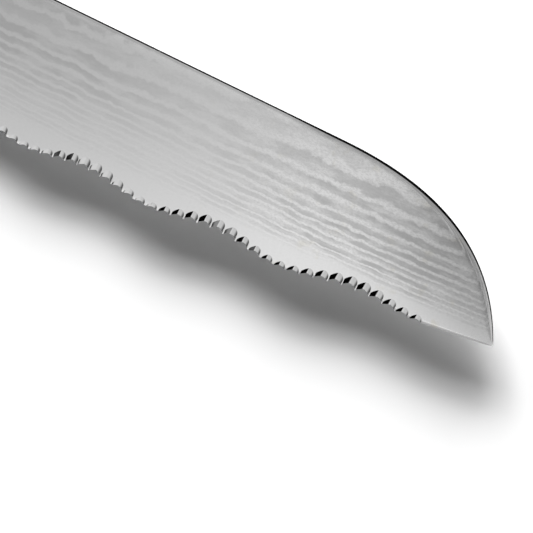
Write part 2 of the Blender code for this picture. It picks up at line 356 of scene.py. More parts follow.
fit_clearance = 0.00005
rivet_sleeve_radius = 0.0025
dowel_radius = 0.0015
dowel_spread = 0.0055
rivet_holes = [(x, 0.0, rivet_sleeve_radius + fit_clearance) for x in rivet_places]
dowel_holes = [(x, side * dowel_spread, dowel_radius + fit_clearance)
               for x in (mix(scale_front, bolster_front, 0.5), mix(scale_back, handle_end, 0.5))
               for side in (-1, 1)]


def drill_bits(holes, low, high):
    """Cylinders at the places of the holes, from one height to another."""
    bm = bmesh.new()
    for x, side, radius in holes:
        made = bmesh.ops.create_cone(bm, cap_ends=True, segments=round_segments, radius1=radius,
                                     radius2=radius, depth=high - low)
        bmesh.ops.translate(bm, verts=made["verts"], vec=(x, handle_middle(x) + side, (low + high) / 2))
    return bm


def node(tree, kind, inputs=None, **settings):
    """New node: sockets among the inputs are linked, and anything else is set on the node's own socket."""
    made = tree.nodes.new(kind)
    for key, value in settings.items():
        setattr(made, key, value)
    for key, value in (inputs or {}).items():
        if isinstance(value, bpy.types.NodeSocket):
            tree.links.new(value, made.inputs[key])
        else:
            made.inputs[key].default_value = value
    return made


def calc(tree, operation, *values):
    return node(tree, "ShaderNodeMath", dict(enumerate(values)), operation=operation).outputs[0]


def plus(tree, first, second):
    return calc(tree, "ADD", first, second)


def times(tree, first, second):
    return calc(tree, "MULTIPLY", first, second)


def vector_calc(tree, operation, *values):
    return node(tree, "ShaderNodeVectorMath", dict(enumerate(values)), operation=operation).outputs[0]


def scaled(tree, vector, share):
    return node(tree, "ShaderNodeVectorMath", {0: vector, "Scale": share}, operation="SCALE").outputs[0]


def split(tree, vector):
    return node(tree, "ShaderNodeSeparateXYZ", {0: vector}).outputs


def between(tree, value, low, high, low_value=0.0, high_value=1.0):
    """Soft step from one value to another as the input goes from low to high."""
    return node(tree, "ShaderNodeMapRange", {"Value": value, 1: low, 2: high, 3: low_value, 4: high_value},
                interpolation_type="SMOOTHSTEP").outputs[0]


def new_tree(name, kind, inputs, outputs):
    """Node group with named sockets: returns the tree, its input sockets and its output node."""
    tree = bpy.data.node_groups.new(name, kind)
    for socket, (sort, value) in inputs.items():
        made = tree.interface.new_socket(socket, in_out="INPUT", socket_type="NodeSocket" + sort)
        if value is not None:
            made.default_value = value
    for socket, sort in outputs.items():
        tree.interface.new_socket(socket, in_out="OUTPUT", socket_type="NodeSocket" + sort)
    entry = tree.nodes.new("NodeGroupInput")
    return tree, entry.outputs, tree.nodes.new("NodeGroupOutput")


def finish_tree(tree, geometry, material, socket):
    """Ends a tree with real geometry in one material."""
    whole = node(tree, "GeometryNodeRealizeInstances", {0: geometry}).outputs[0]
    finished = node(tree, "GeometryNodeSetMaterial", {"Geometry": whole, "Material": material}).outputs[0]
    tree.links.new(finished, socket)


def tooth_grinder():
    """Places one finger for each groove along the edge, cuts them all away, and drills the tang."""
    tree, given, end = new_tree("tooth grinder", "GeometryNodeTree", {
        "Blank": ("Geometry", None), "Finger": ("Object", None), "Bits": ("Object", None),
        "Steel": ("Material", None), "Count": ("Int", tooth_count), "Pitch": ("Float", tooth_pitch),
        "Wide pitch gain": ("Float", wide_pitch_gain), "Teeth end": ("Float", teeth_end),
        "Wave length": ("Float", wave_length), "Wave depth": ("Float", wave_depth),
        "Depth": ("Float", groove_depth), "Depth swing": ("Float", groove_depth_swing),
        "Width swing": ("Float", groove_width_swing), "Hand error": ("Float", hand_error),
        "Seed": ("Int", grinder_seed)}, {"Knife": "Geometry"})
    order = node(tree, "GeometryNodeInputIndex").outputs[0]
    along = times(tree, plus(tree, order, 0.5), given["Pitch"])
    gained = times(tree, between(tree, order, *wide_pitch_grooves), given["Wide pitch gain"])
    along = plus(tree, along, gained)
    x = calc(tree, "SUBTRACT", given["Teeth end"], along)
    turn = times(tree, calc(tree, "DIVIDE", along, given["Wave length"]), 2 * math.pi)
    swing = times(tree, calc(tree, "COSINE", turn), -1.0)
    half_wave = times(tree, given["Wave depth"], 0.5)
    lift = times(tree, plus(tree, swing, 1.0), half_wave)
    from_belly = calc(tree, "SUBTRACT", x, belly_place)
    square = times(tree, from_belly, from_belly)
    behind = calc(tree, "LESS_THAN", x, belly_place)
    back_bend, front_bend = 0.5 / belly_radius_back, 0.5 / belly_radius_front
    curve = plus(tree, times(tree, behind, back_bend - front_bend), front_bend)
    depth = plus(tree, given["Depth"], times(tree, given["Depth swing"], swing))
    y = plus(tree, plus(tree, times(tree, square, curve), lift), depth)
    error = node(tree, "FunctionNodeRandomValue", {
        "ID": order, "Seed": given["Seed"], 0: (-1.0, -1.0, 0.0), 1: (1.0, 1.0, 0.0)},
        data_type="FLOAT_VECTOR").outputs[0]
    slip = scaled(tree, error, given["Hand error"])
    spot = node(tree, "ShaderNodeCombineXYZ", {"X": x, "Y": y}).outputs[0]
    spot = vector_calc(tree, "ADD", vector_calc(tree, "ADD", spot, slip), knife_place)
    points = node(tree, "GeometryNodeMeshLine", {"Count": given["Count"]}).outputs[0]
    points = node(tree, "GeometryNodeSetPosition", {"Geometry": points, "Position": spot}).outputs[0]
    finger = node(tree, "GeometryNodeObjectInfo", {"Object": given["Finger"]}).outputs["Geometry"]
    across = split(tree, node(tree, "GeometryNodeInputPosition").outputs[0])[0]
    flank = plus(tree, calc(tree, "LESS_THAN", across, -flank_start * groove_left_width), 1.0)
    finger = node(tree, "GeometryNodeStoreNamedAttribute", {
        "Geometry": finger, "Name": "wheel_cut", "Value": flank}, data_type="FLOAT", domain="FACE").outputs[0]
    width = plus(tree, times(tree, swing, given["Width swing"]), 1.0)
    scale = node(tree, "ShaderNodeCombineXYZ", {"X": width, "Y": 1.0, "Z": 1.0}).outputs[0]
    fingers = node(tree, "GeometryNodeInstanceOnPoints", {"Points": points, "Instance": finger,
                                                          "Scale": scale}).outputs[0]
    fingers = node(tree, "GeometryNodeRealizeInstances", {0: fingers}).outputs[0]
    bits = node(tree, "GeometryNodeObjectInfo", {"Object": given["Bits"]}).outputs["Geometry"]
    ground = node(tree, "GeometryNodeMeshBoolean", {"Mesh 1": given["Blank"], "Mesh 2": fingers},
                  operation="DIFFERENCE", solver="EXACT").outputs[0]
    drilled = node(tree, "GeometryNodeMeshBoolean", {"Mesh 1": ground, "Mesh 2": bits},
                   operation="DIFFERENCE", solver="EXACT").outputs[0]
    finish_tree(tree, drilled, given["Steel"], end.inputs["Knife"])
    return tree


def run_tree(made, tree, **values):
    """Gives the object the tree, with its inputs set by the names that the tree gives them."""
    modifier = made.modifiers.new(tree.name, "NODES")
    modifier.node_group = tree
    for socket in tree.interface.items_tree:
        if socket.in_out == "INPUT" and socket.name in values:
            modifier[socket.identifier] = values[socket.name]


# Layered steel shows as contour lines of its depth below the surface. The hammer left the stack leaning
# and wandering, and the etch, worn in patches and strongest near the tip, makes every other layer darker.
# Painted dark reflection lies on the steep flanks of the grooves near the tip, and of a few on each wave
# behind them.

core_half = 0.00039
layer_pair = 0.000058
layer_unevenness = 2.4
stack_tilt = -0.0016
stack_lean = 0.008
slow_wander = 0.0000504
quick_wander = 0.0000414
# Painted dark reflection on the steep groove flanks, which comes and goes with the wave along the edge, and
# its share in a paler stretch
dark_flank_phase = 0.7
dark_flank_place = teeth_end - dark_flank_phase * wave_length
dark_flank_swing = 0.9
paler_dark_flank_share = 0.45
core_grain = 0.15
least_grain = 0.05
scratch_turn = math.radians(87.0)
scratch_relief = 0.000002
wheel_roughness = (0.0, 1.0, 0.09, 0.06)

# How fine a pattern is along the blade, up the blade and through it, per metre
slow_blows = (85.0, 110.0, 900.0)
quick_blows = (360.0, 330.0, 900.0)
worn_patches = (110.0, 420.0, 900.0)
etched_grain = (1500.0, 3000.0, 3000.0)
fine_marks = (60.0, 9000.0, 9000.0)
coarse_marks = (25.0, 2600.0, 2600.0)

# Where a change starts and ends along the blade, and the values before and after it
core_thinning = (0.112, 0.148, core_half, core_half * 0.70)
heel_etch = (0.036, 0.062, 1.65, 1.0)
tip_start = (0.062, 0.116)
low_tip_start = (0.124, 0.142)
# Painted dark reflection on the groove flanks: how it grows towards the tip, and a stretch where it is paler
dark_flank_growth = (0.030, 0.105, 0.0, 1.95)
paler_flanks_start = (0.0796, 0.0806)
paler_flanks_end = (0.0873, 0.0863)

# The same by the distance from the middle plane, or by the height of a pattern
core_fade = (0.90, 1.30)
plain_etch = (0.00060, 0.00092, 0.11, 0.33)
tip_etch = (0.00072, 0.00092, 1.0, 0.72)
low_tip_depth = (0.00068, 0.00042)
low_tip_etch = (0.0, 1.0, 1.0, 0.55)
dark_layer = (-1.0, 0.1)
layer_strength = (0.2, 0.7, 0.5, 1.0)
etch_wear = (0.34, 0.60, 0.40, 1.12)
# Limits of the painted dark reflection on the groove flanks
dark_flank_limit = (0.7, 1.0)
# The painted dark reflection along the spine: a black line at the rim and a softer veil beside it
dark_reflection_line = (0.71, 0.84)
dark_reflection_veil = (0.0, 0.75, 0.0, 0.58)
warm_cloud = (0.58, 0.72, 0.0, 0.9)
grain_fleck = (0.35, 0.7)
grain_growth = (0.0, 1.0, 0.03, 0.27)

bright_steel = (0.85, 0.85, 0.85, 1.0)
etched_steel = (0.53, 0.53, 0.53, 1.0)
warm_steel = (0.80, 0.785, 0.735, 1.0)
wheel_steel = (0.62, 0.62, 0.62, 1.0)
grain_steel = (0.45, 0.45, 0.45, 1.0)
# Near-black of the painted dark reflections on the spine and on the groove flanks
dark_reflection_black = (0.002, 0.002, 0.002, 1.0)


def drawing_place(tree, scale=(1.0, 1.0, 1.0)):
    """Position measured from the heel, stretched for a pattern."""
    spot = node(tree, "ShaderNodeTexCoord").outputs["Object"]
    spot = node(tree, "ShaderNodeMapping", {"Vector": spot, "Location": -knife_place}).outputs[0]
    return vector_calc(tree, "MULTIPLY", spot, scale)


def noise(tree, vector, scale, detail=2.0, roughness=0.5):
    return node(tree, "ShaderNodeTexNoise", {"Vector": vector, "Scale": scale, "Detail": detail,
                                             "Roughness": roughness}).outputs[0]


def line_noise(tree, place, scale, detail):
    """Noise along one line, which makes no two layers of a stack alike."""
    return node(tree, "ShaderNodeTexNoise", {"W": place, "Scale": scale, "Detail": detail},
                noise_dimensions="1D").outputs[0]


def blend(tree, share, first, second):
    return node(tree, "ShaderNodeMix", {0: share, 6: first, 7: second}, data_type="RGBA").outputs[2]


def abrasive_marks():
    """Scratches of a belt or a wheel: long fine lines along X of the place that is given."""
    tree, given, end = new_tree("abrasive marks", "ShaderNodeTree", {
        "Place": ("Vector", (0, 0, 0)), "Fineness": ("Float", 1.0)}, {"Marks": "Float"})
    place = scaled(tree, given["Place"], given["Fineness"])
    both = plus(tree, noise(tree, vector_calc(tree, "MULTIPLY", place, fine_marks), 1.0),
                noise(tree, vector_calc(tree, "MULTIPLY", place, coarse_marks), 1.0, 3.0))
    tree.links.new(times(tree, both, 0.5), end.inputs["Marks"])
    return tree


marks_group = abrasive_marks()


def marks(tree, place, fineness=1.0):
    return node(tree, "ShaderNodeGroup", {"Place": place, "Fineness": fineness},
                node_tree=marks_group).outputs[0]


def bumped(tree, height, distance, strength):
    return node(tree, "ShaderNodeBump", {"Height": height, "Distance": distance,
                                         "Strength": strength}).outputs[0]


def attribute(tree, name):
    return node(tree, "ShaderNodeAttribute", attribute_name=name).outputs["Fac"]


def new_finish(name, **constants):
    """Material with its own Principled shader, whose constant values are set on its sockets."""
    made = bpy.data.materials.new(name)
    made.use_nodes = True
    shader = made.node_tree.nodes["Principled BSDF"]
    for key, value in constants.items():
        shader.inputs[key.replace("_", " ")].default_value = value
    return made, made.node_tree, shader


def hammered_layers(tree, along, height, depth):
    """How dark the etch makes the layer at a place, and how far the place is outside the plain core."""
    slow = calc(tree, "SUBTRACT", noise(tree, drawing_place(tree, slow_blows), 1.0, 1.5), 0.5)
    quick = calc(tree, "SUBTRACT", noise(tree, drawing_place(tree, quick_blows), 1.0, 4.0, 0.58), 0.5)
    wander = plus(tree, times(tree, slow, slow_wander), times(tree, quick, quick_wander))
    rise = calc(tree, "SUBTRACT", times(tree, height, stack_lean), times(tree, along, stack_tilt))
    stacked = plus(tree, plus(tree, depth, rise), wander)
    layers = calc(tree, "DIVIDE", stacked, layer_pair)
    uneven = line_noise(tree, layers, 0.6, 1.0)
    swell = calc(tree, "SINE", plus(tree, times(tree, layers, 2 * math.pi),
                                    times(tree, uneven, layer_unevenness)))
    band = times(tree, between(tree, swell, *dark_layer), between(tree, uneven, *layer_strength))
    worn = noise(tree, drawing_place(tree, worn_patches), 1.0, 3.0, 0.60)
    band = times(tree, band, between(tree, worn, *etch_wear))
    core_border = between(tree, along, *core_thinning)
    outside_core = calc(tree, "DIVIDE", plus(tree, depth, wander), core_border)
    outside_core = between(tree, outside_core, *core_fade)
    return times(tree, band, outside_core), outside_core


def etch_strength(tree, along, depth, near_tip):
    """The etch is faint behind the middle, stronger near the tip, and weaker again low on the tip."""
    faint = times(tree, between(tree, depth, *plain_etch), between(tree, along, *heel_etch))
    strength = plus(tree, times(tree, calc(tree, "SUBTRACT", 1.0, near_tip), faint),
                    times(tree, near_tip, between(tree, depth, *tip_etch)))
    low_tip = times(tree, between(tree, along, *low_tip_start), between(tree, depth, *low_tip_depth))
    return times(tree, strength, between(tree, low_tip, *low_tip_etch))


def dark_flank_reflection(tree, along, flank):
    """Painted dark reflection on the steep flanks: all of them near the tip, and farther back those just
    behind the top of each wave.
    """
    turn = times(tree, calc(tree, "SUBTRACT", along, dark_flank_place), 2 * math.pi / wave_length)
    dark_flank_level = plus(tree, times(tree, calc(tree, "COSINE", turn), dark_flank_swing),
                between(tree, along, *dark_flank_growth))
    dark_flanks = times(tree, flank, between(tree, dark_flank_level, *dark_flank_limit))
    # A short stretch where the painted dark reflection on the flanks is paler
    paler_flanks = times(tree, between(tree, along, *paler_flanks_start), between(tree, along, *paler_flanks_end))
    return times(tree, dark_flanks, between(tree, paler_flanks, 0.0, 1.0, 1.0, paler_dark_flank_share))


def layered_steel():
    made, tree, shader = new_finish("layered_steel_etched", Specular_IOR_Level=0.0)
    place = drawing_place(tree)
    along, height, through = split(tree, place)
    depth = calc(tree, "ABSOLUTE", through)
    near_tip = between(tree, along, *tip_start)
    cut = attribute(tree, "wheel_cut")
    wheel = calc(tree, "MINIMUM", cut, 1.0)
    flank = calc(tree, "MAXIMUM", calc(tree, "SUBTRACT", cut, 1.0), 0.0)

    band, outside_core = hammered_layers(tree, along, height, depth)
    dark = times(tree, band, etch_strength(tree, along, depth, near_tip))
    dark = times(tree, dark, calc(tree, "SUBTRACT", 1.0, wheel))
    warm = times(tree, between(tree, noise(tree, place, 230.0, 3.0), *warm_cloud), near_tip)
    ground = blend(tree, warm, bright_steel, warm_steel)
    ground = blend(tree, wheel, ground, wheel_steel)
    colour = blend(tree, dark, ground, etched_steel)

    coarse = times(tree, outside_core, between(tree, near_tip, *grain_growth))
    fleck = between(tree, noise(tree, drawing_place(tree, etched_grain), 1.0, 2.0), *grain_fleck)
    grain = times(tree, fleck, plus(tree, coarse, least_grain))
    core = times(tree, calc(tree, "SUBTRACT", 1.0, outside_core), near_tip)
    grain = plus(tree, grain, times(tree, core, core_grain))
    colour = blend(tree, grain, colour, grain_steel)

    # Painted dark reflection along the rounded spine, from the mark that each vertex keeps
    near_spine = attribute(tree, "spine_dark_reflection")
    scale = calc(tree, "MAXIMUM", between(tree, near_spine, *dark_reflection_line),
                 between(tree, near_spine, *dark_reflection_veil))
    # The painted dark reflections on the flanks and on the spine turn the steel to a black that is not metal
    painted_dark_reflection = calc(tree, "MAXIMUM", dark_flank_reflection(tree, along, flank), scale)
    tree.links.new(blend(tree, painted_dark_reflection, colour, dark_reflection_black), shader.inputs["Base Color"])
    tree.links.new(calc(tree, "SUBTRACT", 1.0, painted_dark_reflection), shader.inputs["Metallic"])

    across = node(tree, "ShaderNodeMapping", {"Vector": place, "Rotation": (0, 0, scratch_turn)}).outputs[0]
    scratches = marks(tree, across)
    rough = plus(tree, times(tree, scratches, 0.08), between(tree, wheel, *wheel_roughness))
    tree.links.new(rough, shader.inputs["Roughness"])
    tree.links.new(bumped(tree, scratches, scratch_relief, 0.2), shader.inputs["Normal"])
    return made


blade = forge("ground_blade", blade_blank())
finger = forge("wheel_finger", wheel_finger(), Vector())
bits = forge("tang_drill_bits", drill_bits(rivet_holes + dowel_holes, -2 * tang_half, 2 * tang_half))
run_tree(blade, tooth_grinder(), Finger=finger, Bits=bits, Steel=layered_steel())
settle(blade, blade_sharp_angle)
for tool in (finger, bits):
    bpy.data.objects.remove(tool, do_unlink=True)
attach(blade, "root")
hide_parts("blade")


# Bolsters and butt caps
# Pairs of solid steel cheeks at both ends of the scales, pinned to the tang and ground flush with it and
# with the wood. The bolster tapers down to the blade and the cap is rounded to sit in the heel of the hand.

bolster_front_thickness = 0.0084
butt_side_radius = 0.0040
handle_corner_width = 0.0055
handle_rim = 0.0012
corner_limit = 2.2
seam_chamfer = 0.00007
section_steps = 12
bolster_steps = 24
handle_sharp_angle = 28
cool_grey = (0.58, 0.58, 0.585, 1.0)
warm_grey = (0.64, 0.635, 0.625, 1.0)
belt_relief = 0.000004
belt_roughness = 0.14


def handle_side(x):
    """Distance of the flat side from the middle plane: thin at the bolster's front, rounded at the butt."""
    if x > scale_front:
        share = (bolster_front - x) / bolster_length
        return mix(bolster_front_thickness / 2, handle_half, math.sin(share * math.pi / 2))
    inside = butt_side_radius - (x - handle_end)
    if inside > 0:
        return handle_half - butt_side_radius + math.sqrt(max(0.0, butt_side_radius ** 2 - inside ** 2))
    return handle_half


def handle_row(bm, x, inner, side, inset=0.0):
    """Half of the handle's section at x, from the inner face out to the flat side."""
    top, bottom, outer = handle_top(x) - inset, handle_bottom(x) + inset, handle_side(x) - inset
    rim = min(inner + handle_rim, mix(inner, outer, 0.5))
    corner = min(handle_corner_width, (top - bottom) / corner_limit)
    points = [(top, inner)]
    turns = [i / section_steps * math.pi / 2 for i in range(section_steps + 1)]
    points += [(top - corner * (1 - math.cos(turn)), rim + (outer - rim) * math.sin(turn)) for turn in turns]
    points += [(bottom + corner * (1 - math.cos(turn)), rim + (outer - rim) * math.sin(turn))
               for turn in reversed(turns)]
    points.append((bottom, inner))
    return [bm.verts.new((x, y, side * z)) for y, z in points]


def handle_cheek(front, back, inner, side, steps):
    """Cheek of the handle with a hair of a chamfer at its seams."""
    bm = bmesh.new()
    places = spread(front, back, steps)
    rows = [handle_row(bm, front, inner, side, seam_chamfer)]
    rows.append(handle_row(bm, front - seam_chamfer, inner, side))
    rows += [handle_row(bm, x, inner, side) for x in places[1:-1]]
    if back == handle_end:
        rows.append(handle_row(bm, back, inner, side))
    else:
        rows.append(handle_row(bm, back + seam_chamfer, inner, side))
        rows.append(handle_row(bm, back, inner, side, seam_chamfer))
    skin(bm, rows)
    return bm


def satin_steel():
    made, tree, shader = new_finish("satin_steel_belted", Metallic=1.0)
    place = drawing_place(tree)
    scratches = marks(tree, place)
    cloudy = noise(tree, place, 70.0, 3.0)
    colour = blend(tree, between(tree, cloudy, 0.3, 0.7), cool_grey, warm_grey)
    tree.links.new(colour, shader.inputs["Base Color"])
    rough = plus(tree, times(tree, scratches, 0.22), times(tree, cloudy, 0.10))
    tree.links.new(plus(tree, rough, belt_roughness), shader.inputs["Roughness"])
    tree.links.new(bumped(tree, scratches, belt_relief, 0.5), shader.inputs["Normal"])
    return made


def drilled(made, bits):
    """Cuts the bits out of a piece."""
    boolean = made.modifiers.new(bits.name, "BOOLEAN")
    boolean.operation = "DIFFERENCE"
    boolean.solver = "EXACT"
    boolean.object = bits


dowel_reach = 0.0040
hole_depth = tang_half + dowel_reach + fit_clearance
cheek_finish = satin_steel()
blind_holes = forge("dowel_drill_bits", drill_bits(dowel_holes, -hole_depth, hole_depth))
for hand, side in (("right", 1), ("left", -1)):
    for part, front, back, steps in (("bolster", bolster_front, scale_front, bolster_steps),
                                     ("butt_cap", scale_back, handle_end, corner_steps * 2)):
        cheek = forge("ground_%s_%s" % (part, hand), handle_cheek(front, back, tang_half, side, steps))
        cheek.data.materials.append(cheek_finish)
        drilled(cheek, blind_holes)
        settle(cheek, handle_sharp_angle)
        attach(cheek, "root")
        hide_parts("%s_%s" % (part, hand))
bpy.data.objects.remove(blind_holes, do_unlink=True)


# Dowels
# Plain ground steel pins, pressed into blind holes so that the bolsters and the caps can't slide on the
# tang. Nothing of them shows once the knife is together.

pin_shades = ((0.50, 0.50, 0.51, 1.0), (0.60, 0.60, 0.61, 1.0))
pin_roughness = (0.2, 0.8, 0.32, 0.48)


def ground_pin():
    made, tree, shader = new_finish("dowel_steel_ground", Metallic=1.0)
    scratches = marks(tree, drawing_place(tree), 0.7)
    tree.links.new(blend(tree, scratches, *pin_shades), shader.inputs["Base Color"])
    tree.links.new(between(tree, scratches, *pin_roughness), shader.inputs["Roughness"])
    return made


pin_finish = ground_pin()
for end in ("bolster", "butt"):
    for place in ("upper", "lower"):
        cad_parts["%s_dowel_%s" % (end, place)].material_slots[0].material = pin_finish


# Liners
# Sheets of red vulcanized fibre between the tang and the wood, cut flush all round. Their edges show as
# a thin red line, and the pressed paper that they are made of leaves fine layers and small pale flecks.

liner_thickness = 0.0008
scale_inner = tang_half + liner_thickness
pressed_layers = (60.0, 60.0, 14000.0)
red_shades = ((0.15, 0.014, 0.012, 1.0), (0.27, 0.030, 0.022, 1.0))
fleck_red = (0.40, 0.12, 0.09, 1.0)
fleck_limit = (0.62, 0.72)
fibre_roughness = (0.3, 0.7, 0.50, 0.66)
fibre_relief = 0.00001


def fibre_sheet(side):
    bm = bmesh.new()
    rows = []
    for x in spread(scale_front, scale_back, tang_steps):
        top, bottom = handle_top(x), handle_bottom(x)
        corners = [(top, tang_half), (top, scale_inner), (bottom, scale_inner), (bottom, tang_half)]
        rows.append([bm.verts.new((x, y, side * z)) for y, z in corners])
    skin(bm, rows)
    return bm


def red_fibre():
    made, tree, shader = new_finish("liner_fibre_red", Specular_IOR_Level=0.35)
    layers = noise(tree, drawing_place(tree, pressed_layers), 1.0, 2.0)
    flecks = between(tree, noise(tree, drawing_place(tree), 2600.0, 2.0), *fleck_limit)
    colour = blend(tree, layers, *red_shades)
    colour = blend(tree, times(tree, flecks, 0.35), colour, fleck_red)
    tree.links.new(colour, shader.inputs["Base Color"])
    tree.links.new(between(tree, layers, *fibre_roughness), shader.inputs["Roughness"])
    tree.links.new(bumped(tree, layers, fibre_relief, 0.4), shader.inputs["Normal"])
    return made


fibre_finish = red_fibre()
sleeve_holes = forge("liner_drill_bits", drill_bits(rivet_holes, -2 * scale_inner, 2 * scale_inner))
for hand, side in (("right", 1), ("left", -1)):
    liner = forge("red_liner_" + hand, fibre_sheet(side))
    liner.data.materials.append(fibre_finish)
    drilled(liner, sleeve_holes)
    settle(liner, handle_sharp_angle)
    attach(liner, "root")
    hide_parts("liner_" + hand)
bpy.data.objects.remove(sleeve_holes, do_unlink=True)


# Scales
# Slabs of dark laminated wood, pressed from thin dyed veneers in resin and shaped with the steel, so that
# the veneers come out as long curved lines on the rounded corners. Waxed and buffed, with open pores.

rivet_head_radius = 0.0037
rivet_head_thickness = 0.0018
head_floor = handle_half - rivet_head_thickness
veneer = 0.00058
veneer_sway = 0.0011
slow_sway = (26.0, 110.0, 60.0)
fine_streaks = (45.0, 1500.0, 1500.0)
pore_dashes = (420.0, 5200.0, 5200.0)
dark_veneer = (0.020, 0.0105, 0.0072, 1.0)
brown_veneer = (0.074, 0.031, 0.0165, 1.0)
pore_colour = (0.008, 0.005, 0.004, 1.0)
pore_limit = (0.62, 0.70)
pore_relief = 0.00003
wood_roughness = (0.3, 0.7, 0.30, 0.42)
wax_weight = 0.35


def stepped_bits(side):
    """A seat for each rivet head and a bore for its sleeve."""
    bm = bmesh.new()
    beyond = handle_half * 2
    seat = head_floor - fit_clearance
    head, bore = rivet_head_radius + fit_clearance, rivet_sleeve_radius + fit_clearance
    for x in rivet_places:
        turned(bm, [(0, beyond), (head, beyond), (head, seat), (bore, seat), (bore, 0), (0, 0)], x, side)
    return bm


def turned(bm, profile, x, side):
    """Solid turned round an upright axis from pairs of radius and height that start and end on the axis."""
    y = handle_middle(x)
    turns = [2 * math.pi * i / round_segments for i in range(round_segments)]
    rings = []
    for radius, height in profile:
        places = turns if radius else [0.0]
        rings.append([bm.verts.new((x + radius * math.sin(turn), y + radius * math.cos(turn), side * height))
                      for turn in places])
    for ring, following in zip(rings, rings[1:]):
        for i in range(round_segments):
            j = (i + 1) % round_segments
            corners = ([ring[0]] if len(ring) == 1 else [ring[i], ring[j]])
            corners += ([following[0]] if len(following) == 1 else [following[j], following[i]])
            bm.faces.new(corners)


def laminated_wood():
    made, tree, shader = new_finish("scale_wood_laminated", Coat_Roughness=0.12, Coat_IOR=1.45)
    sway = calc(tree, "SUBTRACT", noise(tree, drawing_place(tree, slow_sway), 1.0, 2.0), 0.5)
    depth = calc(tree, "ABSOLUTE", split(tree, drawing_place(tree))[2])
    sheets = calc(tree, "DIVIDE", plus(tree, depth, times(tree, sway, veneer_sway)), veneer)
    tone = between(tree, line_noise(tree, sheets, 1.0, 0.0), 0.36, 0.64)
    streaks = noise(tree, drawing_place(tree, fine_streaks), 1.0, 4.0, 0.6)
    share = plus(tree, times(tree, tone, 0.55), times(tree, between(tree, streaks, 0.3, 0.7), 0.45))
    colour = blend(tree, share, dark_veneer, brown_veneer)
    pores = between(tree, noise(tree, drawing_place(tree, pore_dashes), 1.0, 1.0), *pore_limit)
    tree.links.new(blend(tree, pores, colour, pore_colour), shader.inputs["Base Color"])
    rough = plus(tree, times(tree, pores, 0.25), between(tree, streaks, *wood_roughness))
    tree.links.new(rough, shader.inputs["Roughness"])
    wax = calc(tree, "SUBTRACT", wax_weight, times(tree, pores, wax_weight))
    tree.links.new(wax, shader.inputs["Coat Weight"])
    relief = calc(tree, "SUBTRACT", times(tree, streaks, 0.3), pores)
    tree.links.new(bumped(tree, relief, pore_relief, 0.5), shader.inputs["Normal"])
    return made


wood_finish = laminated_wood()
for hand, side in (("right", 1), ("left", -1)):
    slab = forge("wooden_scale_" + hand,
                 handle_cheek(scale_front, scale_back, scale_inner, side, tang_steps))
    slab.data.materials.append(wood_finish)
    seats = forge("scale_drill_bits", stepped_bits(side))
    drilled(slab, seats)
    settle(slab, handle_sharp_angle)
    bpy.data.objects.remove(seats, do_unlink=True)
    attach(slab, "root")
    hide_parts("scale_" + hand)


# Rivets
# Three two-part cutler's rivets of polished steel. A hollow sleeve goes in from the right and takes the
# post of the head on the left, and both heads are ground flush with the wood and buffed in circles.

rivet_post_radius = 0.0017
rivet_bore_floor = 0.0050
head_chamfer = 0.00012
buffing_seed = 3
buffed_shades = ((0.62, 0.62, 0.63, 1.0), (0.74, 0.74, 0.745, 1.0))
buffed_roughness = (0.3, 0.7, 0.12, 0.24)
swirl_relief = 0.000003


def rivet_profile(kind):
    top = [(0, handle_half), (rivet_head_radius - head_chamfer, handle_half),
           (rivet_head_radius, handle_half - head_chamfer), (rivet_head_radius, head_floor)]
    if kind == "sleeve":
        bore = rivet_post_radius + fit_clearance
        mouth = -head_floor + fit_clearance
        return top + [(rivet_sleeve_radius, head_floor), (rivet_sleeve_radius, mouth), (bore, mouth),
                      (bore, rivet_bore_floor), (0, rivet_bore_floor)]
    end = rivet_bore_floor - fit_clearance
    return top + [(rivet_post_radius, head_floor), (rivet_post_radius, -end), (0, -end)]


def rivet_setter():
    """Sets a rivet at each place along the handle, each turned by chance as it was when it was buffed."""
    tree, given, end = new_tree("rivet setter", "GeometryNodeTree", {
        "Pattern": ("Geometry", None), "Rivet": ("Object", None), "Steel": ("Material", None),
        "Seed": ("Int", buffing_seed)}, {"Rivets": "Geometry"})
    points = node(tree, "GeometryNodeMeshToPoints", {"Mesh": given["Pattern"]}).outputs[0]
    turn = node(tree, "FunctionNodeRandomValue", {2: 0.0, 3: 2 * math.pi, "Seed": given["Seed"]},
                data_type="FLOAT").outputs[1]
    turn = node(tree, "ShaderNodeCombineXYZ", {"Z": turn}).outputs[0]
    rivet = node(tree, "GeometryNodeObjectInfo", {"Object": given["Rivet"]}).outputs["Geometry"]
    rivets = node(tree, "GeometryNodeInstanceOnPoints", {"Points": points, "Instance": rivet,
                                                         "Rotation": turn}).outputs[0]
    finish_tree(tree, rivets, given["Steel"], end.inputs["Rivets"])
    return tree


def polished_steel():
    made, tree, shader = new_finish("rivet_steel_polished", Metallic=1.0)
    swirl = noise(tree, drawing_place(tree), 2200.0, 3.0)
    tree.links.new(blend(tree, swirl, *buffed_shades), shader.inputs["Base Color"])
    tree.links.new(between(tree, swirl, *buffed_roughness), shader.inputs["Roughness"])
    tree.links.new(bumped(tree, swirl, swirl_relief, 0.3), shader.inputs["Normal"])
    return made


rivet_finish = polished_steel()
setter = rivet_setter()
for kind, side in (("sleeve", 1), ("post", -1)):
    bm = bmesh.new()
    turned(bm, rivet_profile(kind), 0.0, side)
    pattern = forge("%s_pattern" % kind, bm, Vector((0.0, -handle_middle(0.0), 0.0)))
    bm = bmesh.new()
    for x in rivet_places:
        bm.verts.new((x, handle_middle(x), 0.0))
    rivets = forge("rivet_%ss" % kind, bm)
    run_tree(rivets, setter, Rivet=pattern, Steel=rivet_finish)
    settle(rivets, handle_sharp_angle)
    bpy.data.objects.remove(pattern, do_unlink=True)
    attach(rivets, "root")
    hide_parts(*["rivet_%s_%s" % (kind, place) for place in ("front", "middle", "rear")])


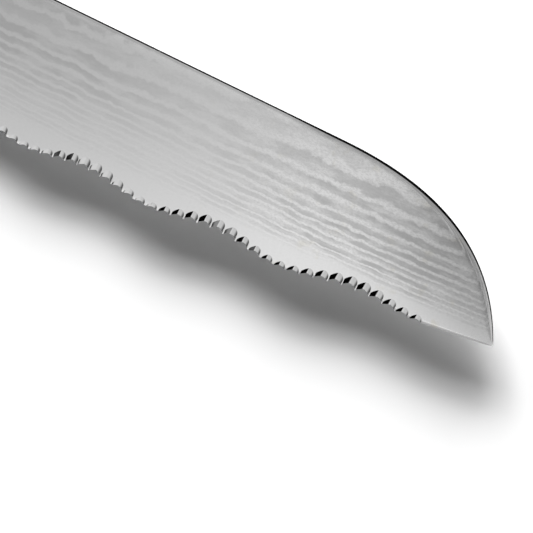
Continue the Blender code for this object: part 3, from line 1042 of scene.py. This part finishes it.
# Camera
# It looks down on the right side of the blade, a little from the tip and from the spine, and is turned
# so that the edge falls away to the right. The corner at the tip stays at one place in the frame.

lean_to_tip = math.sin(math.radians(26.0))
lean_to_spine = math.sin(math.radians(8.0))
view_turn = math.radians(24.5246)
view_distance = 0.480
seen_width = 0.115661
tip_in_view = Vector((0.05516, 0.00433, 0.0))
film_width = 36.0
view_back = Vector((lean_to_tip, lean_to_spine, 0.0))
view_back.z = math.sqrt(1 - view_back.x ** 2 - view_back.y ** 2)
level = (Vector((1, 0, 0)) - view_back * view_back.x).normalized()
upright = view_back.cross(level)
right = level * math.cos(view_turn) + upright * math.sin(view_turn)
up = upright * math.cos(view_turn) - level * math.sin(view_turn)
tip_corner = knife_place + Vector((blade_length, edge_height(blade_length), 0.0))
aim = tip_corner - tip_in_view
camera = bpy.data.objects.new("camera", bpy.data.cameras.new("camera"))
camera.data.sensor_width = film_width
camera.data.lens = film_width * view_distance / seen_width
camera.data.clip_start = 0.01
camera.data.clip_end = 100.0
camera.matrix_world = (Matrix.Translation(aim + view_back * view_distance)
                       @ Matrix((right, up, view_back)).transposed().to_4x4())
bpy.context.scene.collection.objects.link(camera)
bpy.context.scene.camera = camera


# Studio
# A plain white table that takes the knife's shadow, a broad soft light from the side of the spine, and a
# white tent all round with darker openings, which the polished steel picks up.

table_size = 6.0
table_drop = 0.0001
table_whites = ((0.955, 0.955, 0.955, 1.0), (0.965, 0.965, 0.965, 1.0))
bm = bmesh.new()
bmesh.ops.create_grid(bm, x_segments=8, y_segments=8, size=table_size / 2)
table = forge("table", bm, Vector((0.0, 0.0, -table_drop)))
table_finish, tree, shader = new_finish("white_table", Roughness=0.9, Specular_IOR_Level=0.0)
shade = noise(tree, node(tree, "ShaderNodeTexCoord").outputs["Object"], 40.0, 2.0)
tree.links.new(blend(tree, shade, *table_whites), shader.inputs["Base Color"])
table.data.materials.append(table_finish)

window_light = 2.60
window_spread = math.radians(21.0)
# Bearing, from the side of the spine towards the tip, and height in degrees, with a share of the light
window_panes = ((-52, 24, 0.35), (-26, 24, 0.9), (-4, 24, 0.8), (-26, 36, 0.33), (-4, 36, 0.33))

for bearing, height, share in window_panes:
    window = bpy.data.objects.new("window", bpy.data.lights.new("window", "SUN"))
    window.data.energy = window_light * share
    window.data.angle = window_spread
    turn, lift = math.radians(bearing), math.radians(height)
    level_part = math.cos(lift)
    towards_light = Vector((math.sin(turn) * level_part, math.cos(turn) * level_part, math.sin(lift)))
    window.rotation_mode = "QUATERNION"
    window.rotation_quaternion = towards_light.to_track_quat("Z", "Y")
    window.visible_glossy = False
    bpy.context.scene.collection.objects.link(window)

tent_light = 0.135
# Changes of the tent's brightness to the spine's side, low down, and along the blade: place and values
spine_side_shade = (-0.03, -0.24, 0.80, 1.14)
low_shade = (0.0, 0.30, 0.35, 1.0)
heel_side_shade = (-0.515, -0.485, 0.885, 0.835)
heel_panel_shade = (-0.470, -0.430, 1.0, 1.195)
doorway_left, doorway_right, doorway_top = (-0.06, 0.10), (0.60, 0.38), (-0.36, -0.50)
doorway_shade = 0.92
# Direction, the angles in degrees between which the border of an opening fades, and how dark it is
tent_openings = (((-0.662, -0.161, 0.732), 2, 18.5, 0.40), ((-0.248, -0.133, 0.960), 7.4, 9.85, 0.615),
                 ((-0.10, 0.25, 0.96), 8, 20, 0.55), ((0.25, 0.70, 0.67), 14, 30, 0.55),
                 ((0.15, 0.97, 0.15), 20, 34, 0.50), ((-0.93, -0.32, 0.12), 12, 36, 0.85),
                 ((-0.30, -0.50, 0.81), 5, 12, 0.60), ((-0.33, -0.25, 0.91), 1, 5, 0.20))

world = bpy.data.worlds.new("tent")
world.use_nodes = True
bpy.context.scene.world = world
tree = world.node_tree
tree.nodes.clear()
heading = node(tree, "ShaderNodeTexCoord").outputs["Generated"]
along, across, above = split(tree, heading)


def towards(direction, inner, outer):
    """One inside a cone round the direction, falling softly to nothing at its outer angle, in degrees."""
    facing = node(tree, "ShaderNodeVectorMath", {0: heading, 1: Vector(direction).normalized()},
                  operation="DOT_PRODUCT").outputs["Value"]
    return between(tree, facing, math.cos(math.radians(outer)), math.cos(math.radians(inner)))


tent = times(tree, between(tree, across, *spine_side_shade), between(tree, above, *low_shade))
for direction, inner, outer, share in tent_openings:
    opening = times(tree, towards(direction, inner, outer), share)
    tent = times(tree, tent, calc(tree, "SUBTRACT", 1.0, opening))
doorway = times(tree, between(tree, along, *doorway_left), between(tree, across, *doorway_top))
doorway = times(tree, doorway, between(tree, along, *doorway_right))
tent = times(tree, tent, calc(tree, "SUBTRACT", 1.0, times(tree, doorway, doorway_shade)))
path = node(tree, "ShaderNodeLightPath").outputs
seen = calc(tree, "MAXIMUM", calc(tree, "MAXIMUM", path["Is Camera Ray"], path["Is Glossy Ray"]),
            path["Is Transmission Ray"])
tent = times(tree, calc(tree, "MINIMUM", tent, 1.0), between(tree, along, *heel_side_shade))
tent = times(tree, tent, between(tree, along, *heel_panel_shade))
tent = calc(tree, "MAXIMUM", tent, path["Is Camera Ray"])
shown = node(tree, "ShaderNodeBackground", {"Color": tent, "Strength": 1.0}).outputs[0]
plain = node(tree, "ShaderNodeBackground", {"Color": (1.0, 1.0, 1.0, 1.0), "Strength": tent_light}).outputs[0]
both = node(tree, "ShaderNodeMixShader", {0: seen, 1: plain, 2: shown}).outputs[0]
node(tree, "ShaderNodeOutputWorld", {"Surface": both})

bpy.context.scene.view_settings.view_transform = "Standard"
